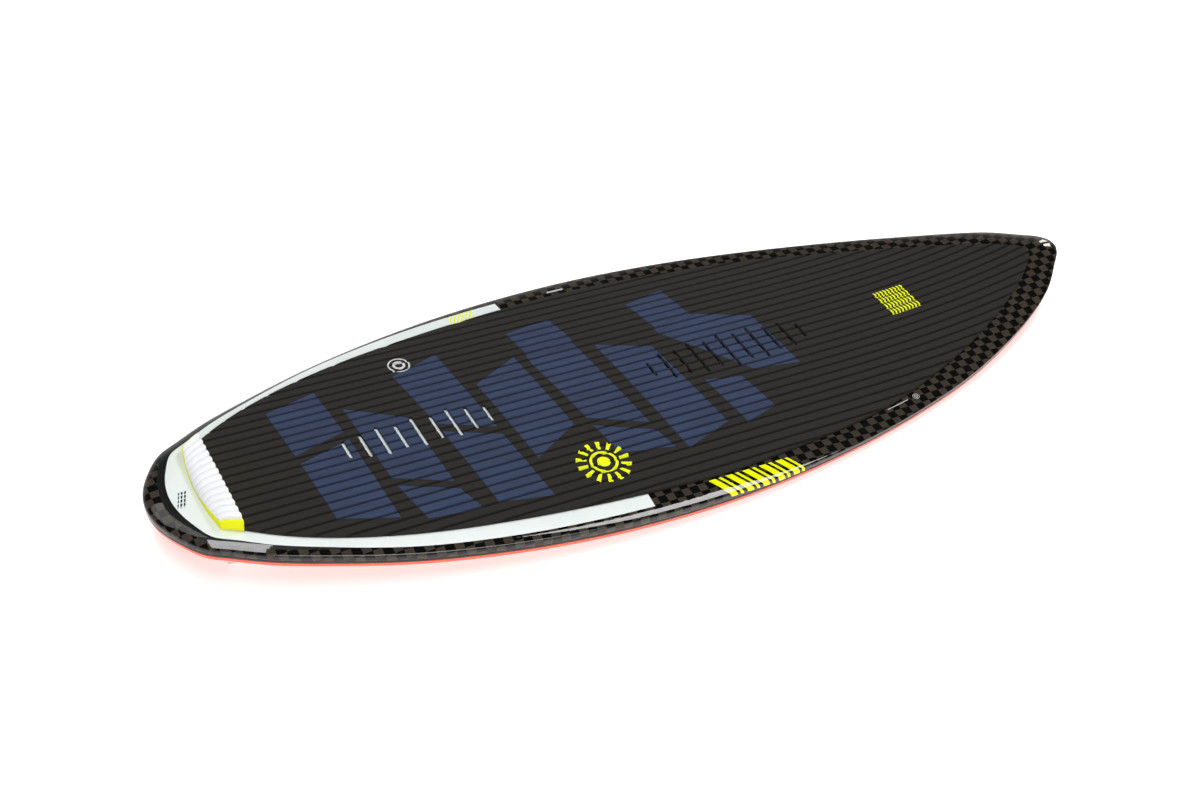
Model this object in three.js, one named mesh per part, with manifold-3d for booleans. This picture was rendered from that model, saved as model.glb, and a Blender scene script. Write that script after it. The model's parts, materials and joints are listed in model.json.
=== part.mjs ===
// Short directional wake surf board: carbon deck shell, painted bottom shell, foam core in two
// halves on a stringer, a grooved traction pad with coloured inlays, a tail kick and two fins that
// pull out of their boxes. Millimetres. The board is drawn level (+X to the nose, +Y to port, deck
// middle at z = 0), then tipped as it rests on its fins and belly, with the origin at the middle
// of its bounding box's bottom.
import * as THREE from 'three';
import { mergeVertices } from 'three/addons/utils/BufferGeometryUtils.js';
import Module from 'manifold-3d';

const wasm = await Module();
wasm.setup();

// ---------------------------------------------------------------- driving dimensions

// Half widths of the board along its length: [x, half width].
const OUTLINE = [
  [-711, 0], [-692, 59], [-667, 91], [-639, 108], [-593, 133], [-545, 153], [-400, 202],
  [-203, 238], [-2, 247], [198, 229], [391, 188], [567, 123], [644, 80], [688, 40], [705, 23],
  [714, 0],
];
// Heights of the rail's widest line and of the bottom edge: [x, widest line, bottom edge].
const RAIL = [
  [-714, -8.5, -27.5], [-600, -13.5, -31], [-450, -18, -34.5], [-300, -17.5, -36.5],
  [-150, -15.5, -37], [0, -13.5, -34.5], [150, -10.5, -30], [300, -6.5, -24], [450, 2.5, -15.5],
  [600, 22.5, 5.5], [714, 49.5, 32.5],
];
// Half widths of the traction pad: [x, half width].
const PAD_OUTLINE = [
  [-616, 86], [-548, 125], [-412, 170], [-275, 194], [-139, 208], [-2, 214], [134, 205],
  [270, 187], [407, 147], [543, 90], [600, 58], [640, 30], [655, 16], [662, 0],
];
const NOSE_RISE = 57;
const NOSE_RISE_START = 124;
const NOSE_RISE_LENGTH = 578;
const CROWN = 1.82e-4;
const BELLY = 2;
const VEE = 0.6;
const VEE_START = 0;
const VEE_LENGTH = 150;

const RAIL_WIDTH = 28;
const EDGE_INSET = 4;
const SHELL = 1.6;
const GAP = 0.3;
const GLUE = 0.5;
const SKIRT = 9;
const BAND_HEIGHT = 3.5;
const STRINGER = 4;

const PAD_THICKNESS = 4.5;
const SLOT_WIDTH = 5;
const SLOT_PITCH = 25;
const REAR_SLOTS_START = -449;
const REAR_SLOTS = [17, 22, 28, 23, 30, 23, 29, 22, 17];
const FRONT_SLOTS_START = 3;
const FRONT_SLOTS = [15, 28, 27, 34, 29, 37, 30, 35, 27, 28, 16];

const KICK_FRONT = -616.5;
const KICK_REAR_MIDDLE = -649;
const KICK_REAR_END = -641;
const KICK_HALF_WIDTH = 87;
const KICK_REAR_HALF = 74;
const KICK_HEIGHT = 18;
const KICK_LENGTH = 33.5;
const KICK_TOP_THICKNESS = 4.5;

const FIN_X = -590;
const FIN_Y = 68;
const FIN_DEPTH = 36;
const FIN_ROOT = 92;
const FIN_TIP = 24;
const FIN_SWEEP = 62;
const FIN_THICKNESS = 6;
const FIN_TOE_IN = THREE.MathUtils.degToRad(2);
const TAB = { length: 60, width: 5.6, height: 13 };
const BOX = { length: 118, width: 18, height: 16 };
const SCREW = { radius: 2.5, length: 9, socketRadius: 1.45, socketDepth: 3 };

// Coloured pieces let into the pad: slanted shards, each an outline of [x, y] corners.
const SHARDS = [
  [[-520, 106], [-446, 124], [-440, 34], [-514, 12]],
  [[-513, -4], [-439, 18], [-433, -138], [-507, -112]],
  [[-424, 78], [-352, 30], [-345, -104], [-417, -70]],
  [[-416, -84], [-344, -118], [-330, -160], [-402, -152]],
  [[-336, 118], [-262, 142], [-250, -30], [-322, 4]],
  [[-321, -12], [-249, -46], [-236, -172], [-308, -158]],
  [[-238, 60], [-164, 96], [-152, -62], [-226, -104]],
  [[-150, 150], [-78, 160], [-70, 112], [-144, 92]],
  [[-148, 76], [-72, 96], [-54, -96], [-130, -58]],
  [[-129, -74], [-53, -112], [-44, -150], [-120, -134]],
  [[-46, 80], [30, 46], [48, -132], [-28, -158]],
  [[44, 150], [112, 164], [120, 98], [56, 84]],
  [[52, 72], [128, 92], [204, 58], [212, -62], [140, -50]],
  [[62, -46], [116, -58], [128, -128], [74, -142]],
];

const COLOUR = {
  carbon: 0x1b1a19, band: 0x0a0a0a, orange: 0xf4501c, foam: 0xe9e6dc, plywood: 0xc9a46c,
  pad: 0x262421, navy: 0x2f4170, kickBase: 0xf2f01a, kickTop: 0xf7f8fa, box: 0x17181a,
  fin: 0xd9dcdd, screw: 0xb9bcc0,
};

// ---------------------------------------------------------------- curves and surfaces

// A smooth curve through [position, value] pairs, read at one position.
function smooth(pairs, at) {
  const last = pairs.length - 1;
  const slope = (i) => (pairs[i + 1][1] - pairs[i][1]) / (pairs[i + 1][0] - pairs[i][0]);
  const tangent = (i) => {
    if (i === 0) return slope(0);
    if (i === last) return slope(last - 1);
    const before = pairs[i][0] - pairs[i - 1][0];
    const after = pairs[i + 1][0] - pairs[i][0];
    return (slope(i - 1) * after + slope(i) * before) / (before + after);
  };
  let i = 0;
  while (i < last - 1 && at > pairs[i + 1][0]) i += 1;
  const step = pairs[i + 1][0] - pairs[i][0];
  const s = THREE.MathUtils.clamp((at - pairs[i][0]) / step, 0, 1);
  const value = (2 * s ** 3 - 3 * s ** 2 + 1) * pairs[i][1];
  const end = (3 * s ** 2 - 2 * s ** 3) * pairs[i + 1][1];
  const bend = (s ** 3 - 2 * s ** 2 + s) * tangent(i) + (s ** 3 - s ** 2) * tangent(i + 1);
  return value + end + bend * step;
}

const deckHeight = (x, y) => {
  const rise = Math.max(0, (x - NOSE_RISE_START) / NOSE_RISE_LENGTH);
  return NOSE_RISE * rise ** 3 - CROWN * y ** 2;
};
const apexHeight = (x) => smooth(RAIL.map(([at, apex]) => [at, apex]), x);
const edgeHeight = (x) => smooth(RAIL.map(([at, , edge]) => [at, edge]), x);

// The bottom is bellied, flat along its middle at the tail, with a slight vee towards the nose.
const FLAT_SHARE = 0.22;
const bottomHeight = (x, share) => {
  const vee = VEE * THREE.MathUtils.clamp((x - VEE_START) / VEE_LENGTH, 0, 1);
  const ridge = Math.max(0, 1 - Math.abs(share) / FLAT_SHARE);
  const belly = BELLY * (1 - Math.max(Math.abs(share), FLAT_SHARE) ** 2);
  return edgeHeight(x) - belly - vee * ridge;
};

// A closed plan curve from half-width stations. Equal steps of angle crowd the points towards the
// two ends, where the curve turns, and point i mirrors point count - i.
function planCurve(stations, count) {
  const tail = stations[0][0];
  const nose = stations[stations.length - 1][0];
  const middle = (tail + nose) / 2;
  const half = (nose - tail) / 2;
  const byAngle = stations.map(([x, w]) => {
    return [Math.acos(THREE.MathUtils.clamp((x - middle) / half, -1, 1)), w];
  });
  byAngle.reverse();
  const points = [];
  for (let i = 0; i < count; i += 1) {
    const angle = (2 * Math.PI * i) / count;
    const folded = Math.min(angle, 2 * Math.PI - angle);
    const side = angle <= Math.PI ? 1 : -1;
    points.push(new THREE.Vector2(middle + half * Math.cos(folded), side * smooth(byAngle, folded)));
  }
  points[0].y = 0;
  points[count / 2].y = 0;
  return points;
}

// The outline's points with the unit normal into the board and the room there is along it.
const AROUND = 64;
const RIM = planCurve(OUTLINE, AROUND).map((point, i, all) => {
  const before = all[(i + AROUND - 1) % AROUND];
  const after = all[(i + 1) % AROUND];
  const along = after.clone().sub(before).normalize();
  const inward = new THREE.Vector2(-along.y, along.x);
  const endRadius = after.distanceToSquared(point) / (2 * Math.abs(after.x - point.x));
  const room = Math.abs(point.y) < 1 ? endRadius : Math.abs(point.y / inward.y);
  return { point, inward, depth: Math.min(RAIL_WIDTH, 0.6 * room) };
});

const bezier = (a, b, c, d, t) => {
  const u = 1 - t;
  return u ** 3 * a + 3 * u ** 2 * t * b + 3 * u * t ** 2 * c + t ** 3 * d;
};

// The rail's section at one rim point, as [inset, height] pairs from the deck to a height above
// the bottom edge, or from that height to the bottom.
function upperRail(rim, endAbove) {
  const { point, inward, depth } = rim;
  const inner = point.clone().addScaledVector(inward, depth);
  const deck = deckHeight(inner.x, inner.y);
  const apex = apexHeight(point.x);
  const edge = edgeHeight(point.x);
  const drop = deck - apex;
  const section = [0, 0.35, 0.65, 0.85, 1].map((t) => {
    const inset = bezier(depth, depth * 0.4, 0, 0, t);
    return [inset, bezier(deck, deck - 0.1 * drop, apex + 0.6 * drop, apex, t)];
  });
  section.push(sidePoint(apex, edge, edge + endAbove));
  return section;
}

function sidePoint(apex, edge, height) {
  return [EDGE_INSET * ((apex - height) / (apex - edge)) ** 1.8, height];
}

function lowerRail(rim, startAbove) {
  const { point, inward, depth } = rim;
  const apex = apexHeight(point.x);
  const edge = edgeHeight(point.x);
  const inner = point.clone().addScaledVector(inward, depth);
  return [
    sidePoint(apex, edge, edge + startAbove),
    sidePoint(apex, edge, edge + 3),
    [EDGE_INSET + 2, edge],
    [Math.max(depth, EDGE_INSET + 4), edgeHeight(inner.x)],
  ];
}

// Moves a section into the board by a thickness, square to its own line.
function thicken(section, by, firstNormal, lastNormal) {
  return section.map(([inset, height], i) => {
    if (i === 0 && firstNormal) return [inset + by * firstNormal[0], height + by * firstNormal[1]];
    if (i === section.length - 1 && lastNormal) {
      return [inset + by * lastNormal[0], height + by * lastNormal[1]];
    }
    const before = section[Math.max(0, i - 1)];
    const after = section[Math.min(section.length - 1, i + 1)];
    const along = new THREE.Vector2(after[0] - before[0], after[1] - before[1]).normalize();
    return [inset - along.y * by, height + along.x * by];
  });
}

// ---------------------------------------------------------------- mesh building

const triangles = (soup) => {
  const geometry = new THREE.BufferGeometry();
  geometry.setAttribute('position', new THREE.Float32BufferAttribute(soup.flat(2), 3));
  return mergeVertices(geometry, 1e-4);
};

function toSolid(geometry) {
  const plain = geometry.clone();
  plain.deleteAttribute('normal');
  plain.deleteAttribute('uv');
  const merged = mergeVertices(plain, 1e-4);
  const index = merged.index.array;
  const position = merged.attributes.position.array;
  const triVerts = new Uint32Array(index);
  if (volumeOf(position, index) < 0) triVerts.reverse();
  return new wasm.Manifold(new wasm.Mesh({ numProp: 3, vertProperties: position, triVerts }));
}

function volumeOf(position, index) {
  const corner = (k) => new THREE.Vector3().fromArray(position, index[k] * 3);
  let sum = 0;
  for (let k = 0; k < index.length; k += 3) {
    sum += corner(k).dot(corner(k + 1).cross(corner(k + 2)));
  }
  return sum / 6;
}

function toGeometry(solid) {
  const { vertProperties, triVerts } = solid.getMesh();
  const geometry = new THREE.BufferGeometry();
  geometry.setAttribute('position', new THREE.BufferAttribute(vertProperties, 3));
  geometry.setIndex(new THREE.BufferAttribute(triVerts, 1));
  geometry.computeVertexNormals();
  return geometry;
}

const quad = (soup, a, b, c, d) => soup.push([a, b, c], [a, c, d]);

// Rows of points across a ring, each from a port point to its starboard mirror.
function ringRows(ring, { across, heightAt }) {
  const rows = [];
  for (let i = 1; i < AROUND / 2; i += 1) {
    const [x, y, z] = ring[i];
    rows.push(across.map((share) => [x, y * share, Math.abs(share) === 1 ? z : heightAt(x, y, share)]));
  }
  return rows;
}

function capRing(soup, ring, cap, flip) {
  const rows = ringRows(ring, cap);
  const put = (a, b, c) => soup.push(flip ? [a, c, b] : [a, b, c]);
  const first = rows[0];
  const last = rows[rows.length - 1];
  for (let j = 0; j < cap.across.length - 1; j += 1) {
    put(ring[0], first[j], first[j + 1]);
    put(ring[AROUND / 2], last[j + 1], last[j]);
    for (let i = 0; i < rows.length - 1; i += 1) {
      put(rows[i][j], rows[i + 1][j], rows[i + 1][j + 1]);
      put(rows[i][j], rows[i + 1][j + 1], rows[i][j + 1]);
    }
  }
}

// A closed body from a chain of rings, capped across its first and last ring, or joined end to end
// where it has no caps.
function ringBody(sections, firstCap, lastCap) {
  const rings = sections[0].map((_, k) => RIM.map(({ point, inward }, i) => {
    const [inset, height] = sections[i][k];
    return [point.x + inward.x * inset, point.y + inward.y * inset, height];
  }));
  if (!firstCap) rings.push(rings[0]);
  const soup = [];
  for (let k = 0; k < rings.length - 1; k += 1) {
    for (let i = 0; i < AROUND; i += 1) {
      const j = (i + 1) % AROUND;
      quad(soup, rings[k][i], rings[k + 1][i], rings[k + 1][j], rings[k][j]);
    }
  }
  if (firstCap) capRing(soup, rings[0], firstCap, false);
  if (lastCap) capRing(soup, rings[rings.length - 1], lastCap, true);
  return toSolid(triangles(soup));
}

// The deck has a whole middle cell that is flat, and the bottom a line of points along its keel.
const deckCap = (lower) => ({
  across: [1, 0.6, FLAT_SHARE, -FLAT_SHARE, -0.6, -1],
  heightAt: (x, y, share) => deckHeight(x, y * share) - lower,
});
const bottomCap = (raise) => ({
  across: [1, 0.6, FLAT_SHARE, 0, -FLAT_SHARE, -0.6, -1],
  heightAt: (x, y, share) => bottomHeight(x, share) + raise,
});

// A vertical prism on a plan outline.
function prism(points, low = -120, high = 140) {
  const shape = new THREE.Shape(points.map(([x, y]) => new THREE.Vector2(x, y)));
  const geometry = new THREE.ExtrudeGeometry(shape, { depth: high - low, bevelEnabled: false });
  geometry.translate(0, 0, low);
  return toSolid(geometry);
}

const boxSolid = (sizeX, sizeY, sizeZ, x, y, z) => {
  return toSolid(new THREE.BoxGeometry(sizeX, sizeY, sizeZ).translate(x, y, z));
};

// A layer on the deck between two heights above it, on a plan grid whose middle strip is flat.
function deckLayer(xs, ys, lowAt, highAt) {
  const surface = (liftAt) => xs.map((x) => ys.map((y) => [x, y, deckHeight(x, y) + liftAt(x)]));
  const low = surface(lowAt);
  const high = surface(highAt);
  const soup = [];
  const lastX = xs.length - 1;
  const lastY = ys.length - 1;
  for (let i = 0; i < lastX; i += 1) {
    for (let j = 0; j < lastY; j += 1) {
      quad(soup, high[i][j], high[i + 1][j], high[i + 1][j + 1], high[i][j + 1]);
      quad(soup, low[i][j], low[i][j + 1], low[i + 1][j + 1], low[i + 1][j]);
    }
    quad(soup, low[i][0], low[i + 1][0], high[i + 1][0], high[i][0]);
    quad(soup, low[i + 1][lastY], low[i][lastY], high[i][lastY], high[i + 1][lastY]);
  }
  for (let j = 0; j < lastY; j += 1) {
    quad(soup, low[0][j + 1], low[0][j], high[0][j], high[0][j + 1]);
    quad(soup, low[lastX][j], low[lastX][j + 1], high[lastX][j + 1], high[lastX][j]);
  }
  return toSolid(triangles(soup));
}

// Moves every side of a convex outline outwards by a distance.
function grow(points, by) {
  const area = THREE.ShapeUtils.area(points.map(([x, y]) => new THREE.Vector2(x, y)));
  const turn = Math.sign(area);
  const side = (i) => {
    const a = points[i % points.length];
    const b = points[(i + 1) % points.length];
    const length = Math.hypot(b[0] - a[0], b[1] - a[1]);
    const normal = [(turn * (b[1] - a[1])) / length, (-turn * (b[0] - a[0])) / length];
    return { normal, reach: normal[0] * a[0] + normal[1] * a[1] + by };
  };
  return points.map((_, i) => {
    const p = side((i + points.length - 1) % points.length);
    const q = side(i);
    const det = p.normal[0] * q.normal[1] - p.normal[1] * q.normal[0];
    return [
      (p.reach * q.normal[1] - q.reach * p.normal[1]) / det,
      (q.reach * p.normal[0] - p.reach * q.normal[0]) / det,
    ];
  });
}

// An outline with round ends along X, like the end of a milled pocket.
function stadium(length, width, x = 0, y = 0) {
  const radius = width / 2;
  const reach = length / 2 - radius;
  const points = [];
  for (let k = 0; k <= 5; k += 1) {
    const angle = -Math.PI / 2 + (Math.PI * k) / 5;
    points.push([x + reach + radius * Math.cos(angle), y + radius * Math.sin(angle)]);
  }
  return points.concat(points.map(([px, py]) => [2 * x - px, 2 * y - py]));
}

// ---------------------------------------------------------------- hull

function deckShell() {
  const sections = RIM.map((rim) => {
    const outer = upperRail(rim, SKIRT + BAND_HEIGHT + GAP);
    const inner = thicken(outer, SHELL, [0, -1], [1, 0]);
    return outer.concat(inner.reverse());
  });
  return ringBody(sections, deckCap(0), deckCap(SHELL));
}

function bottomShell() {
  const sections = RIM.map((rim) => {
    const outer = lowerRail(rim, SKIRT - GAP);
    const inner = thicken(outer, SHELL, [1, 0], [0, 1]);
    return inner.reverse().concat(outer);
  });
  return ringBody(sections, bottomCap(SHELL), bottomCap(0));
}

function railBand() {
  const sections = RIM.map(({ point }) => {
    const apex = apexHeight(point.x);
    const edge = edgeHeight(point.x);
    const high = sidePoint(apex, edge, edge + SKIRT + BAND_HEIGHT);
    const low = sidePoint(apex, edge, edge + SKIRT);
    return [high, low, [low[0] + SHELL, low[1]], [high[0] + SHELL, high[1]]];
  });
  return ringBody(sections);
}

function coreSolid() {
  const clear = SHELL + GLUE;
  const sections = RIM.map((rim) => {
    const whole = upperRail(rim, SKIRT + BAND_HEIGHT).concat(lowerRail(rim, SKIRT));
    return thicken(whole, clear, [0, -1], [0, 1]);
  });
  // The core's bottom stays flat over the shell's vee.
  const flatBottom = { ...bottomCap(clear), across: deckCap(clear).across };
  return ringBody(sections, deckCap(clear), flatBottom);
}

// An upright plate along the middle of the core, as far as the shells' flat middle strips are wide
// enough for it.
function stringer() {
  const clear = SHELL + GLUE;
  const inner = RIM.slice(0, AROUND / 2 + 1).map(({ point, inward, depth }) => {
    return point.clone().addScaledVector(inward, depth);
  });
  const stations = inner.filter(({ y }) => y * FLAT_SHARE > STRINGER / 2);
  const top = stations.map(({ x, y }) => [x, deckHeight(x, y * FLAT_SHARE) - clear]);
  const bottom = stations.map(({ x }) => [x, bottomHeight(x, FLAT_SHARE) + clear]);
  const side = top.concat(bottom.reverse()).map(([x, z]) => new THREE.Vector2(x, z));
  const plate = new THREE.ExtrudeGeometry(new THREE.Shape(side), {
    depth: STRINGER, bevelEnabled: false,
  });
  return toSolid(plate.rotateX(Math.PI / 2).translate(0, STRINGER / 2, 0));
}

// ---------------------------------------------------------------- deck furniture

const padXs = [-640, -450, -260, -60, 50, 120, 190, 260, 330, 400, 460, 520, 570, 610, 650, 690];
const padYs = [-230, -165, -100, -40, 40, 100, 165, 230];

function slotPrisms() {
  const groups = [[REAR_SLOTS_START, REAR_SLOTS], [FRONT_SLOTS_START, FRONT_SLOTS]];
  return groups.flatMap(([start, halves]) => halves.map((half, i) => {
    const x = start + i * SLOT_PITCH;
    const points = stadium(2 * half, SLOT_WIDTH).map(([px, py]) => [x - py, px]);
    return prism(points);
  }));
}

const joined = (solids) => solids.reduce((sum, solid) => sum.add(solid));

function padPieces() {
  const sheet = deckLayer(padXs, padYs, () => GLUE, () => PAD_THICKNESS);
  const curve = planCurve([[PAD_OUTLINE[0][0] - 60, 0], ...PAD_OUTLINE], 64);
  const edge = prism(curve.map(({ x, y }) => [x, y]));
  const rear = boxSolid(120, 500, 300, PAD_OUTLINE[0][0] - 60, 0, 0);
  const slots = joined(slotPrisms());
  const whole = sheet.intersect(edge).subtract(rear).subtract(slots);
  const recesses = joined(SHARDS.map((shard) => prism(grow(shard, GAP))));
  const inlays = SHARDS.map((shard) => whole.intersect(prism(shard)));
  return { pad: whole.subtract(recesses), inlays };
}

// The kick's outline: straight in front, bowed behind, closing in a little at its ends.
function kickOutline(shrink) {
  const half = KICK_HALF_WIDTH - shrink;
  const bow = new THREE.QuadraticBezierCurve(
    new THREE.Vector2(KICK_REAR_END, KICK_REAR_HALF - shrink),
    new THREE.Vector2(2 * KICK_REAR_MIDDLE - KICK_REAR_END, 0),
    new THREE.Vector2(KICK_REAR_END, shrink - KICK_REAR_HALF),
  );
  const rear = bow.getPoints(12).map(({ x, y }) => [x, y]);
  return [[KICK_FRONT, -half], [KICK_FRONT, half], ...rear];
}

// The kick's section is a quarter ellipse: upright in front, rounding down to the deck behind.
function kickRise(x) {
  const share = THREE.MathUtils.clamp((KICK_FRONT - x) / KICK_LENGTH, 0, 0.99);
  return KICK_HEIGHT * Math.sqrt(1 - share ** 2);
}

const kickXs = [-655, -649, -645, -640, -634, -626, -610];
const kickYs = [-95, -60, -20, 20, 60, 95];

function kickBase() {
  const layer = deckLayer(kickXs, kickYs, () => GLUE, (x) => kickRise(x));
  return layer.intersect(prism(kickOutline(0)));
}

function kickTop() {
  const top = (x) => kickRise(x) + KICK_TOP_THICKNESS;
  const layer = deckLayer(kickXs, kickYs, (x) => kickRise(x) + GAP, top);
  return layer.intersect(prism(kickOutline(3)));
}

// ---------------------------------------------------------------- fins and their boxes

// A fin blade hangs below z = 0 with its leading edge towards +X.
function finBlade() {
  const levels = 7;
  const around = 16;
  const rings = [];
  for (let k = 0; k <= levels; k += 1) {
    const share = k / levels;
    const chord = FIN_TIP + (FIN_ROOT - FIN_TIP) * (1 - share) ** 0.8;
    const leading = FIN_ROOT / 2 - FIN_SWEEP * share ** 1.35;
    const thick = FIN_THICKNESS * (1 - 0.7 * share);
    const ring = [];
    for (let i = 0; i < around; i += 1) {
      const angle = (2 * Math.PI * i) / around;
      const along = (1 - Math.cos(angle)) / 2;
      const side = Math.sin(angle) * (1 - 0.35 * along) * (thick / 2);
      ring.push([leading - chord * along, side, -GAP - (FIN_DEPTH - GAP) * share]);
    }
    rings.push(ring);
  }
  const soup = [];
  for (let k = 0; k < levels; k += 1) {
    for (let i = 0; i < around; i += 1) {
      const j = (i + 1) % around;
      quad(soup, rings[k][i], rings[k][j], rings[k + 1][j], rings[k + 1][i]);
    }
  }
  for (let i = 1; i < around - 1; i += 1) {
    soup.push([rings[0][0], rings[0][i + 1], rings[0][i]]);
    soup.push([rings[levels][0], rings[levels][i], rings[levels][i + 1]]);
  }
  return toSolid(triangles(soup));
}

function finSolid() {
  const reach = TAB.height + GAP + 1;
  const tab = boxSolid(TAB.length, TAB.width, reach, 0, 0, TAB.height - reach / 2);
  return finBlade().add(tab);
}

const screwPlaces = [1, -1].map((end) => end * (TAB.length / 2 + GAP + SCREW.radius));

function finBox() {
  const clearance = 2 * GAP;
  const body = prism(stadium(BOX.length, BOX.width), 0, BOX.height);
  const slotHeight = TAB.height + GAP + 1;
  const slot = boxSolid(
    TAB.length + clearance, TAB.width + clearance, slotHeight, 0, 0, slotHeight / 2 - 1,
  );
  const holes = screwPlaces.map((x) => {
    const hole = new THREE.CylinderGeometry(SCREW.radius + GAP, SCREW.radius + GAP, 14, 20);
    return toSolid(hole.rotateX(Math.PI / 2).translate(x, 0, 4));
  });
  return body.subtract(slot).subtract(joined(holes));
}

function grubScrew() {
  const { radius, length, socketRadius, socketDepth } = SCREW;
  const body = new THREE.CylinderGeometry(radius, radius, length, 18).rotateX(Math.PI / 2);
  const socket = new THREE.CylinderGeometry(socketRadius, socketRadius, 2 * socketDepth, 6);
  socket.rotateX(Math.PI / 2).translate(0, 0, -length / 2);
  return toSolid(body).subtract(toSolid(socket));
}

// Where a fin stands: on the bottom, square to it, toed in towards the nose.
function finPlace(side) {
  const y = side * FIN_Y;
  const halfWidth = smooth(OUTLINE, FIN_X);
  const surface = (x, across) => new THREE.Vector3(x, across, bottomHeight(x, across / halfWidth));
  const along = surface(FIN_X + 10, y).sub(surface(FIN_X - 10, y)).normalize();
  const across = surface(FIN_X, y + 10).sub(surface(FIN_X, y - 10)).normalize();
  const up = along.clone().cross(across).normalize();
  const basis = new THREE.Matrix4().makeBasis(along, up.clone().cross(along), up);
  const place = new THREE.Matrix4().makeTranslation(surface(FIN_X, y)).multiply(basis);
  return place.multiply(new THREE.Matrix4().makeRotationZ(-side * FIN_TOE_IN));
}

const moved = (solid, matrix) => toSolid(toGeometry(solid).applyMatrix4(matrix));

// ---------------------------------------------------------------- the assembly

const board = new THREE.Group();

function addPiece(name, solid, color, roughness, metalness = 0, parent = board) {
  const material = new THREE.MeshStandardMaterial({ color, roughness, metalness });
  const mesh = new THREE.Mesh(toGeometry(solid), material);
  mesh.name = name;
  parent.add(mesh);
  return mesh;
}

const SIDES = [['left', 1], ['right', -1]];
const pocket = prism(stadium(BOX.length + 2 * GAP, BOX.width + 2 * GAP), -6, BOX.height + GAP);
const pockets = joined(SIDES.map(([, side]) => moved(pocket, finPlace(side))));

addPiece('deck_shell', deckShell(), COLOUR.carbon, 0.25);
addPiece('rail_band', railBand(), COLOUR.band, 0.35);
const hull = addPiece('bottom_shell', bottomShell().subtract(pockets), COLOUR.orange, 0.3);

const core = coreSolid();
const halfSize = 400;
const halfStart = STRINGER / 2 + GAP;
for (const [name, side] of SIDES) {
  const half = boxSolid(1500, halfSize, 300, 0, side * (halfStart + halfSize / 2), 0);
  addPiece(`foam_core_${name}`, core.intersect(half).subtract(pockets), COLOUR.foam, 0.9);
}
addPiece('stringer', stringer(), COLOUR.plywood, 0.8);

const { pad, inlays } = padPieces();
addPiece('deck_pad', pad, COLOUR.pad, 0.9);
inlays.forEach((inlay, i) => addPiece(`pad_inlay_${i + 1}`, inlay, COLOUR.navy, 0.9));
addPiece('kick_base', kickBase(), COLOUR.kickBase, 0.8);
addPiece('kick_top', kickTop(), COLOUR.kickTop, 0.85);

const fins = SIDES.map(([name, side]) => {
  const station = new THREE.Group();
  station.applyMatrix4(finPlace(side));
  board.add(station);
  addPiece(`fin_box_${name}`, finBox(), COLOUR.box, 0.5, 0, station);
  screwPlaces.forEach((x, i) => {
    const end = i === 0 ? 'front' : 'rear';
    const screw = addPiece(`fin_screw_${name}_${end}`, grubScrew(), COLOUR.screw, 0.3, 1, station);
    screw.position.set(x, 0, SCREW.length / 2 + 1);
  });
  return addPiece(`fin_${name}`, finSolid(), COLOUR.fin, 0.35, 0, station);
});

// The angle at which the board comes to rest on its fin tips and its belly.
function cornersOf(mesh) {
  mesh.updateWorldMatrix(true, false);
  const place = mesh.geometry.attributes.position;
  const corners = [];
  for (let i = 0; i < place.count; i += 1) {
    corners.push(new THREE.Vector3().fromBufferAttribute(place, i).applyMatrix4(mesh.matrixWorld));
  }
  return corners;
}

function restTilt() {
  const tips = fins.flatMap(cornersOf);
  const tip = tips.reduce((low, corner) => (corner.z < low.z ? corner : low));
  const angles = cornersOf(hull).filter(({ x }) => x > tip.x + 200).map(({ x, z }) => {
    return Math.atan2(z - tip.z, x - tip.x);
  });
  return Math.min(...angles);
}

board.rotation.y = restTilt();

const group = new THREE.Group();
group.add(board);
group.updateMatrixWorld(true);
const bounds = new THREE.Box3().setFromObject(group, true);
const middle = bounds.getCenter(new THREE.Vector3());
board.position.set(-middle.x, -middle.y, -bounds.min.z);

export default group;
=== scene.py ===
import json
import math

import bmesh
import bpy
import numpy as np
from mathutils import Matrix, Vector


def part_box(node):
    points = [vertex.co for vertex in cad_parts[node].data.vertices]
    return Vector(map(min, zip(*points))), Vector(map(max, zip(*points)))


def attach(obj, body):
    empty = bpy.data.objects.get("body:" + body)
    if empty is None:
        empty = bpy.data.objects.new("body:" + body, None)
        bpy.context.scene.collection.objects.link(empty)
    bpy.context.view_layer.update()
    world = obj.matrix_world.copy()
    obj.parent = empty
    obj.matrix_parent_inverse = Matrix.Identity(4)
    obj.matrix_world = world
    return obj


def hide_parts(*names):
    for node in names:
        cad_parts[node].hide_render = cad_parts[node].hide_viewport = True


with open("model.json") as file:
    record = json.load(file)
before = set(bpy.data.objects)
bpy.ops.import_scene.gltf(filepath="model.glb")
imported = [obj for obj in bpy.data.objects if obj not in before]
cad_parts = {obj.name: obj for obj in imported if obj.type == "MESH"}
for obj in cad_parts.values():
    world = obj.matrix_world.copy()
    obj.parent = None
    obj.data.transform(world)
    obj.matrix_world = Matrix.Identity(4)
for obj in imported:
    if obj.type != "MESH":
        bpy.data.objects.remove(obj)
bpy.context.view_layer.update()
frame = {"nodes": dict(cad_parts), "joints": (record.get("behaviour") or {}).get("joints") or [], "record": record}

# The board is drawn level in millimetres, as its frame is: +X to the nose, +Y to port, and the
# deck middle at z = 0. LEVEL takes that drawing to the row frame, in metres.

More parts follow.
